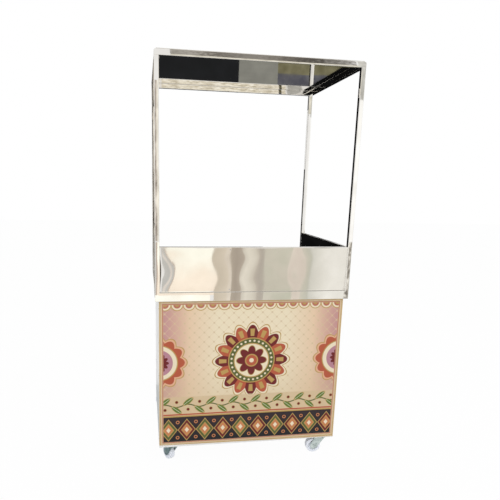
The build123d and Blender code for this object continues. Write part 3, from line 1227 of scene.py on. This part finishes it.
@dataclass
class SwivelCastors(SubAssembly):
    """Four swivel castors: pressed zinc forks and white nylon wheels on hollow rivet axles.

    crown_mm gives the crown's front and rear edges, behind the kingpin, and its top, up from the floor.
    wheel_half and axle_half are outlines of millimetres along the axle and out from it.
    """

    bolt_spacing_mm: float = 44.0
    bolt_width_mm: float = 10.0
    bolt_height_mm: float = 4.0
    bolt_taper: float = 0.92
    washer_radius_mm: float = 6.0
    washer_mm: float = 1.0
    washer_steps: int = 20
    plate_bottom_mm: float = 89.5
    fork_mm: float = 2.5
    fork_bend_mm: float = 5.0
    fork_bend_steps: int = 5
    fork_half_mm: float = 18.0
    fork_edge_mm: float = 0.6
    fork_edge_degrees: float = 50.0
    crown_mm: tuple[float, float, float] = (-23.0, 28.5, 81.5)
    crown_line: float = 0.78
    leg_radius_mm: float = 18.5
    leg_steps: int = 6
    foot_degrees: tuple[float, ...] = (9.0, 25.0, 45.0, 65.0, 85.0)
    round_steps: int = 120
    kingpin_hole_mm: float = 5.2
    wheel_steps: int = 72
    wheel_sharp_degrees: float = 40.0
    wheel_half: tuple[tuple[float, float], ...] = (
        (15.2, 4.6), (15.2, 9.3), (14.7, 10.0), (10.4, 10.6), (9.2, 11.8), (9.2, 22.6), (10.4, 24.2),
        (12.8, 25.0), (13.5, 25.8), (13.5, 34.4), (13.0, 36.0), (11.8, 37.0), (10.0, 37.4))
    axle_steps: int = 32
    axle_half: tuple[tuple[float, float], ...] = (
        (18.05, 4.5), (18.05, 6.9), (18.7, 7.2), (19.3, 6.6), (19.5, 5.2), (19.2, 3.6), (18.5, 2.9))

    def both_sides(self, half: Sequence[tuple[float, float]]) -> list[tuple[float, float]]:
        """Mirror half an outline about the wheel's middle plane."""
        return [(-along, far) for along, far in half] + [(along, far) for along, far in reversed(half)]

    def leg_span(self, axle: tuple[float, float], height: float) -> tuple[float, float]:
        """Say how far a fork's leg reaches at a height: its round end drawn out to the crown.

        Args:
            axle: The axle's millimetres behind the kingpin and up from the floor.
            height: Millimetres up from the floor.

        Returns:
            The leg's front and rear edges as millimetres behind the kingpin.
        """
        front, rear, top = self.crown_mm
        shoulder = top - self.fork_bend_mm
        if height >= shoulder:
            return front, rear
        below = []
        for step in range(self.round_steps):
            turn = math.tau * step / self.round_steps
            back = axle[0] + self.leg_radius_mm * math.cos(turn)
            up = axle[1] + self.leg_radius_mm * math.sin(turn)
            if up <= height:
                below.append((back, (height - up) / (shoulder - up)))
        return (min(back + (front - back) * share for back, share in below),
                max(back + (rear - back) * share for back, share in below))

    def fork_path(self, axle_up: float) -> list[tuple[tuple[float, float], tuple[float, float]]]:
        """Follow a fork's strip from one leg's foot over the crown to the other's.

        Args:
            axle_up: The axle's height in millimetres.

        Returns:
            Pairs of points on the outer and the inner face, as millimetres across and up.
        """
        top, bend, half = self.crown_mm[2], self.fork_bend_mm, self.fork_half_mm
        heights = [axle_up - self.leg_radius_mm * math.cos(math.radians(turn)) for turn in self.foot_degrees]
        ankle = heights[-1]
        heights += [ankle + (top - bend - ankle) * step / self.leg_steps for step in range(1, self.leg_steps)]
        leg = [((half, height), (half - self.fork_mm, height)) for height in heights]
        for step in range(self.fork_bend_steps + 1):
            turn = math.pi / 2 * step / self.fork_bend_steps
            leg.append(tuple((half - bend + radius * math.cos(turn), top - bend + radius * math.sin(turn))
                             for radius in (bend, bend - self.fork_mm)))
        leg.append(((self.kingpin_hole_mm, top), (self.kingpin_hole_mm, top - self.fork_mm)))
        return leg + [tuple((-across, up) for across, up in pair) for pair in reversed(leg)]

    def fork(self, corner: Corner, pivot: Vector, axle: Vector) -> None:
        """Press one fork: a strip bent over the wheel, with narrow round legs and a hole for the kingpin.

        Args:
            corner: The castor's corner.
            pivot: A point on its swivel axis.
            axle: The middle of its axle.
        """
        back = Vector((axle.x - pivot.x, axle.y - pivot.y, 0))
        place = back.length / MM, axle.z / MM
        back.normalize()
        aside = Vector((0, 0, 1)).cross(back)
        front, rear = self.crown_mm[:2]
        hole = [(side * self.kingpin_hole_mm - front) / (rear - front) for side in (-1, 1)]
        shares = [0.0, *hole, self.crown_line, 1.0]
        path = self.fork_path(place[1])
        rows = []
        for pair in path:
            low, high = self.leg_span(place, pair[0][1])
            faces = []
            for across, up in pair:
                middle = Vector((pivot.x, pivot.y, up * MM)) + aside * (across * MM)
                faces.append([middle + back * ((low + (high - low) * share) * MM) for share in shares])
            rows.append(faces[0] + faces[1][::-1])
        shape = bmesh.new()
        self.skin(rows, shape, closed=True)
        # The quads between the hole's edges, on the crown's two faces, give way to the hole's wall.
        shape.faces.ensure_lookup_table()
        around = len(rows[0])
        crown = (len(path) // 2 - 1) * around
        covers = [shape.faces[crown + index] for index in (1, around - 3)]
        edges = [edge for face in covers for edge in face.edges]
        bmesh.ops.delete(shape, geom=covers, context="FACES_ONLY")
        bmesh.ops.bridge_loops(shape, edges=edges)
        piece = self.place(f"fork_pressing_{corner.value}", shape, ZINC, "zinc_plated_steel",
                           f"castor_fork_{corner.value}", body=f"castor_{corner.value}")
        edging = piece.modifiers.new("rolled_edges", "BEVEL")
        edging.width, edging.segments = self.fork_edge_mm * MM, 2
        edging.angle_limit = math.radians(self.fork_edge_degrees)
        self.smooth_normals(piece)

    def bolts(self, corner: Corner, centre: Vector) -> None:
        """Bolt one top plate to its pad with hexagon heads on washers.

        Args:
            corner: The castor's corner.
            centre: A point on its swivel axis.
        """
        heads = bmesh.new()
        half = self.bolt_spacing_mm / 2
        for sign_x, sign_y in ((1, 1), (1, -1), (-1, 1), (-1, -1)):
            middle = Vector((centre.x + sign_x * half * MM, centre.y + sign_y * half * MM, 0))
            drop = self.plate_bottom_mm
            for radius, height, steps in ((self.washer_radius_mm, self.washer_mm, self.washer_steps),
                                          (self.bolt_width_mm / math.sqrt(3), self.bolt_height_mm, 6)):
                place = Matrix.Translation(middle + Vector((0, 0, (drop - height / 2) * MM)))
                bmesh.ops.create_cone(heads, cap_ends=True, segments=steps, depth=height * MM, matrix=place,
                                      radius1=radius * MM * self.bolt_taper, radius2=radius * MM)
                drop -= height
        piece = self.place(f"castor_bolts_{corner.value}", heads, ZINC, "zinc_plated_steel")
        self.smooth_normals(piece)

    def build(self) -> None:
        """Turn the wheels and axles, press the forks, bolt the plates and dress the rest."""
        joints = {joint["name"]: joint for joint in frame["joints"]}
        for corner in Corner:
            name = corner.value
            roll = joints[f"roll_{name}"]
            centre, axis = Vector(roll["pos_m"]), Vector(roll["axis"]).normalized()
            wheel = self.turned(self.both_sides(self.wheel_half), centre, axis, self.wheel_steps)
            piece = self.place(f"wheel_tyre_{name}", wheel, NYLON, "white_nylon", f"castor_wheel_{name}",
                               body=f"wheel_{name}")
            self.smooth_normals(piece, self.wheel_sharp_degrees)
            axle = self.turned(self.both_sides(self.axle_half), centre, axis, self.axle_steps)
            self.place(f"axle_rivet_{name}", axle, ZINC, "zinc_plated_steel", f"castor_axle_{name}",
                       body=f"castor_{name}")
            pivot = Vector(joints[f"swivel_{name}"]["pos_m"])
            self.fork(corner, pivot, centre)
            self.bolts(corner, pivot)
        self.dress(ZINC, "castor_plates", "castor_kingpins")


class Wall(Enum):
    """Where a card is: the axis that its wall, floor or ceiling faces along, and the metres along it."""

    FRONT = (1, -3.2)
    BACK = (1, 3.0)
    NEAR_BACK = (1, 2.95)
    LEFT = (0, -3.2)
    RIGHT = (0, 3.2)
    FLOOR = (2, 0.004)
    CEILING = (2, 9.0)


@dataclass(frozen=True)
class Card:
    """A glowing card in mottled or fading tones that only reflections show, so it paints a reflection; it is
    given by its corners as metres along the other two axes.
    """

    name: str
    wall: Wall
    corners: tuple[tuple[float, float], ...]
    tones: tuple[str, ...]
    patch_mm: float = 200.0
    fade: Run | None = None

    def points(self) -> list[tuple[float, float, float]]:
        """Place the corners in the room."""
        axis, reach = self.wall.value
        return [(*corner[:axis], reach, *corner[axis:]) for corner in self.corners]


def block(left: float, right: float, low: float, high: float) -> tuple[tuple[float, float], ...]:
    """Give the four corners of a square-cut card."""
    return (left, low), (right, low), (right, high), (left, high)


# Painted reflections: every card glows, and only reflections show it, so the polished steel mirrors painted
# tones: white ones brighter than white that paint highlights, pale ones in front at counter height, mottled
# ones at roof height, behind the counter a dark doorway shape with coloured cards beside it, and a dark card
# on the floor whose reflection paints shade on the left castor's fork. The cards' places and tones were
# matched, render by render, to what the steel shows in the photograph.
BLACK = ("#0A0A0B", "#121213")
# Greys of the cards above, below, behind and at the sides: painted reflections in the polished steel.
PAINTED_REFLECTION_GREYS = ("#8B8985", "#B7B5B0", "#E6E4E0")
CARDS = (
    # Painted highlight: the front rim mirrors this card, which glows brighter than white.
    Card("bright_card", Wall.FRONT, block(-0.60, 0.20, 0.03, 0.165), ("#FFFFF6", "#FFFBF0")),
    Card("arc_card", Wall.FRONT, block(-0.68, -0.51, 0.165, 0.74), ("#BDBDBB", "#C4C4C1")),
    Card("haze_card", Wall.FRONT, block(-0.51, -0.45, 0.165, 0.74), ("#D9D2CB", "#E0DAD3")),
    Card("edge_card", Wall.FRONT, block(-0.45, -0.395, 0.165, 0.74), ("#BFBFBC", "#C5C5C2")),
    Card("wood_card", Wall.FRONT, block(-0.395, -0.378, 0.165, 0.74), ("#B09A8B", "#BFAA9B")),
    Card("cream_card", Wall.FRONT, block(-0.378, 0.24, 0.165, 0.74),
         ("#F0E2D2", "#FAEFE0", "#FFFFF4", "#FFFFF4"), fade=Run.UP),
    Card("tan_card", Wall.FRONT, block(0.24, 0.385, 0.0, 0.74), ("#C4BAAA", "#D4CABA"), fade=Run.ACROSS),
    Card("sand_card", Wall.FRONT, block(0.385, 0.43, 0.0, 0.74), ("#D3CABD", "#DBD2C5")),
    Card("brown_card", Wall.FRONT, block(0.43, 0.545, 0.0, 0.74),
         ("#AFA598", "#A69C90", "#B2A89C"), fade=Run.ACROSS),
    Card("linen_card", Wall.FRONT, block(0.545, 0.72, 0.0, 0.74),
         ("#C2BCB0", "#DCD7CB", "#D6D1C5", "#C2BBAF"), fade=Run.ACROSS),
    Card("dusk_card", Wall.FRONT, block(0.72, 0.80, 0.0, 0.74),
         ("#BDB5AA", "#B0A9A0", "#B6B0A6"), fade=Run.ACROSS),
    Card("sage_card", Wall.FRONT, block(0.80, 1.125, 0.0, 0.74), ("#C1C1B2", "#CAC5B9"), 330.0),
    Card("blush_card", Wall.FRONT, block(1.125, 1.225, 0.0, 0.74),
         ("#D8D0C5", "#D2C8BE", "#D6CEC3"), fade=Run.ACROSS),
    Card("moss_card", Wall.FRONT, block(1.225, 1.32, 0.0, 0.74),
         ("#CCC7BB", "#C2C1B4", "#C0C0B6"), fade=Run.ACROSS),
    Card("pale_card", Wall.FRONT, block(1.32, 1.752, 0.0, 0.74),
         ("#C2C3BB", "#DCDBD4", "#EAE9E4", "#E8E7E2", "#E8E7E2"), fade=Run.ACROSS),
    Card("shade_card", Wall.FRONT, block(1.752, 1.90, 0.0, 0.74), ("#77726B", "#A9A49C", "#E6E3DC"), 55.0),
    Card("calm_card", Wall.FRONT, block(1.90, 3.2, 0.0, 0.74),
         ("#C2C0B9", "#DAD8D2", "#F2F1EE"), 900.0, Run.ACROSS),
    Card("gap_card", Wall.FRONT, block(-2.2, -1.02, 0.165, 0.74), ("#2E2A25", "#4A453E")),
    Card("dark_front_card", Wall.FRONT, block(-1.5, -0.70, 0.80, 1.5), BLACK),
    Card("right_glow_card", Wall.FRONT, block(1.73, 2.15, 0.75, 2.26), ("#F6F6F4", "#FFFFFF")),
    Card("right_head_card", Wall.FRONT, block(1.72, 2.15, 2.26, 2.8), ("#A8A7A2", "#D0CFCA"), 120.0),
    Card("left_post_card", Wall.FRONT, block(-0.50, -0.378, 0.75, 2.35),
         ("#8A8078", "#C4BBB2", "#EAE4DC"), 160.0),
    Card("left_glow_card", Wall.FRONT, block(-0.378, -0.30, 0.75, 2.35), ("#D4CFC4", "#FBF6EA"), 160.0),
    Card("right_post_card", Wall.FRONT, block(1.36, 1.56, 0.74, 2.4), ("#93938F", "#CDCDC9"), 160.0),
    Card("cloth_card", Wall.FRONT, block(-0.28, 1.34, 0.98, 1.46), ("#B9B29E", "#E6DFCE", "#FFFDF4"), 70.0),
    Card("eaves_card", Wall.FRONT, block(-0.24, 1.72, 2.30, 2.535), ("#BDB8AA", "#E6E2D6"), 110.0),
    Card("roof_card", Wall.FRONT, block(-0.24, 1.70, 2.535, 2.88),
         ("#86827C", "#A6A29B", "#6C6761", "#8B8781", "#77726C", "#4E4A45", "#86837F", "#D2D0D0"),
         50.0, Run.ACROSS),
    Card("upper_front_card", Wall.FRONT, block(-3.2, 3.2, 2.88, 5.2), PAINTED_REFLECTION_GREYS, 900.0, Run.UP),
    Card("doorway_card", Wall.BACK, block(-0.56, 0.545, 0.9, 1.5), ("#1D1E1F", "#212224")),
    Card("grey_card", Wall.BACK, block(0.545, 0.99, 0.9, 1.5), ("#767670", "#82827B")),
    Card("ochre_card", Wall.BACK, block(0.99, 2.1, 0.9, 1.165), ("#625E46", "#78745C"), 120.0),
    Card("slate_card", Wall.BACK, block(0.99, 2.1, 1.165, 1.5), ("#4B4B54", "#606064"), 120.0),
    Card("dark_eaves_card", Wall.BACK, block(-0.56, -0.46, 2.2, 3.2), ("#333436", "#6A6A69"), 120.0),
    Card("dark_side_card", Wall.BACK, block(-3.2, -0.56, 0.42, 2.44), BLACK),
    Card("dark_sill_card", Wall.BACK, block(-0.56, 2.8, 0.42, 0.9), BLACK),
    Card("dark_lintel_card", Wall.BACK, block(-0.46, 0.9, 1.5, 2.44), ("#0A0A0B", "#2A2418")),
    Card("low_back_card", Wall.BACK, block(-1.5, 1.9, 0.02, 0.42), PAINTED_REFLECTION_GREYS, 420.0),
    Card("high_back_card", Wall.BACK, block(-1.5, 1.9, 2.44, 3.2), PAINTED_REFLECTION_GREYS, 420.0),
    Card("left_side_card", Wall.LEFT, block(-1.2, 1.2, 0.05, 3.2), PAINTED_REFLECTION_GREYS, 520.0),
    Card("right_side_card", Wall.RIGHT, block(-1.2, 1.2, 0.05, 3.2), PAINTED_REFLECTION_GREYS, 520.0),
    Card("overhead_card", Wall.CEILING, block(-9.0, 9.0, -3.0, 9.0),
         ("#F1F0EE", "#D5D4D1", "#BDBBB8"), 2600.0, Run.DEEP),
    Card("dark_corner_card", Wall.NEAR_BACK, ((1.10, 1.46), (2.04, 0.89), (2.8, 0.89), (2.8, 1.46)), BLACK),
    # Painted shade: this dark card's reflection darkens the left castor's fork.
    Card("fork_shade_card", Wall.FLOOR, block(-1.4, -0.405, -0.45, 0.6), ("#3E4C4E", "#94A2A6"), 45.0),
)


@dataclass(frozen=True)
class Lamp:
    """A soft box, with its place and size in metres."""

    name: str
    place: tuple[float, float, float]
    size: float
    watts: float


@dataclass
class Studio:
    """A pale floor, soft light, the glowing cards whose painted reflections the polished steel mirrors, and
    the camera.
    """

    floor_size: float = 30.0
    floor_white: float = 0.97
    daylight: float = 0.74
    lamps: tuple[Lamp, ...] = (
        Lamp("key", (-2.2, -3.4, 3.4), size=2.6, watts=46.0),
        Lamp("fill", (3.2, -1.6, 2.4), size=2.4, watts=22.0))
    lamp_target: tuple[float, float, float] = (0.0, 0.0, 0.7)
    # The cards glow at this strength, so their painted reflections come out brighter than their tones.
    card_light: float = 1.25
    card_fade: float = 0.86
    eye: tuple[float, float, float] = (-0.49796, -2.36050, 1.33933)
    look_degrees: tuple[float, float, float] = (78.722, -1.182, -8.576)
    lens_mm: float = 33.204
    sensor_mm: float = 36.0
    shift: tuple[float, float] = (0.0686, 0.0548)

    def seen(self, tree: bpy.types.NodeTree) -> Signal:
        """Mask the rays that show the background: to the camera, off metal and through glass.

        Args:
            tree: The node tree of the world or of the floor's material.

        Returns:
            The mask.
        """
        path = add_node(tree, "ShaderNodeLightPath")
        rays = ("Is Camera Ray", "Is Glossy Ray", "Is Transmission Ray")
        camera, glossy, through = (Signal(path.outputs[name]) for name in rays)
        return camera | glossy | through

    def quad(self, name: str, corners: Sequence[Sequence[float]],
             material: bpy.types.Material) -> bpy.types.Object:
        """Make one flat sheet of the studio.

        Args:
            name: Its name.
            corners: Its four corners in order.
            material: Its material.

        Returns:
            The sheet.
        """
        mesh = bpy.data.meshes.new(name)
        mesh.from_pydata([tuple(corner) for corner in corners], [], [tuple(range(len(corners)))])
        mesh.materials.append(material)
        sheet = bpy.data.objects.new(name, mesh)
        bpy.context.scene.collection.objects.link(sheet)
        return sheet

    def floor(self) -> None:
        """Lay a white paper floor that keeps a faint shadow."""
        # Backdrop paper: matt and evenly white to the eye, with only a faint shadow under the counter.
        paper = blank_material("white_paper_floor")
        tree = paper.node_tree
        matt = add_node(tree, "ShaderNodeBsdfDiffuse", {"Color": linear("#F4F4F4")})
        white = add_node(tree, "ShaderNodeEmission", {"Color": linear("#FFFFFF"), "Strength": 1.0})
        mix = add_node(tree, "ShaderNodeMixShader", {
            0: self.seen(tree) * self.floor_white, 1: matt.outputs[0], 2: white.outputs[0]})
        add_node(tree, "ShaderNodeOutputMaterial", {0: mix.outputs[0]})
        half = self.floor_size / 2
        self.quad("floor", [(*corner, 0.0) for corner in block(-half, half, -half, half)], paper)

    def world(self) -> None:
        """Light the room evenly and show white behind the counter."""
        world = bpy.data.worlds.new("studio")
        bpy.context.scene.world = world
        world.use_nodes = True
        tree = world.node_tree
        tree.nodes.clear()
        strength = self.seen(tree) * (1.0 - self.daylight) + self.daylight
        sky = add_node(tree, "ShaderNodeBackground", {"Color": linear("#FFFFFF"), "Strength": strength})
        add_node(tree, "ShaderNodeOutputWorld", {0: sky.outputs[0]})

    def hang(self, lamp: Lamp) -> None:
        """Hang one soft box that the metal does not mirror.

        Args:
            lamp: The soft box.
        """
        data = bpy.data.lights.new(lamp.name, "AREA")
        data.shape, data.size, data.energy = "SQUARE", lamp.size, lamp.watts
        box = bpy.data.objects.new(lamp.name, data)
        box.location = lamp.place
        look = Vector(self.lamp_target) - Vector(lamp.place)
        box.rotation_euler = look.to_track_quat("-Z", "Y").to_euler()
        box.visible_glossy = False
        bpy.context.scene.collection.objects.link(box)

    def stand(self, card: Card) -> None:
        """Stand one glowing card where only polished steel mirrors it, as a painted reflection.

        Args:
            card: The card.
        """
        paint = blank_material(f"painted_{card.name}")
        tree = paint.node_tree
        place = add_node(tree, "ShaderNodeTexCoord").outputs["Object"]
        patch = add_node(tree, "ShaderNodeTexNoise", {
            "Vector": place, "Scale": 1 / (card.patch_mm * MM), "Detail": 3.0})
        level = Signal(patch.outputs[0]).rise(0.35, 0.65)
        if card.fade:
            ends = [corner[card.fade.value] for corner in card.points()]
            reach = add_node(tree, "ShaderNodeSeparateXYZ", {0: place}).outputs[card.fade.value]
            level = (Signal(reach).rise(min(ends), max(ends)) * self.card_fade
                     + level * (1 - self.card_fade))
        ramp = add_node(tree, "ShaderNodeValToRGB", {0: level})
        while len(ramp.color_ramp.elements) < len(card.tones):
            ramp.color_ramp.elements.new(0.5)
        for index, (element, tone) in enumerate(zip(ramp.color_ramp.elements, card.tones)):
            element.position = index / (len(card.tones) - 1)
            element.color = linear(tone)
        glow = add_node(tree, "ShaderNodeEmission", {"Color": ramp.outputs[0], "Strength": self.card_light})
        add_node(tree, "ShaderNodeOutputMaterial", {0: glow.outputs[0]})
        sheet = self.quad(card.name, card.points(), paint)
        sheet.visible_camera = sheet.visible_diffuse = sheet.visible_shadow = False
        sheet.visible_transmission = sheet.visible_volume_scatter = False

    def camera(self) -> None:
        """Stand the camera where the photograph was taken."""
        data = bpy.data.cameras.new("camera")
        data.lens, data.sensor_width = self.lens_mm, self.sensor_mm
        data.shift_x, data.shift_y = self.shift
        camera = bpy.data.objects.new("camera", data)
        camera.location = self.eye
        camera.rotation_euler = [math.radians(angle) for angle in self.look_degrees]
        bpy.context.scene.collection.objects.link(camera)
        bpy.context.scene.camera = camera

    def build(self) -> None:
        """Set up the whole studio."""
        bpy.context.scene.view_settings.view_transform = "Standard"
        self.floor()
        self.world()
        for lamp in self.lamps:
            self.hang(lamp)
        for card in CARDS:
            self.stand(card)
        self.camera()


def main() -> None:
    """Build and dress the counter, then the studio round it."""
    logging.basicConfig(level=logging.INFO, format="%(name)s: %(message)s")
    for group in (TubeFrame(), SheetWork(), BoardedBase(), SwivelCastors(), Studio()):
        group.build()


if __name__ == "__main__":
    main()
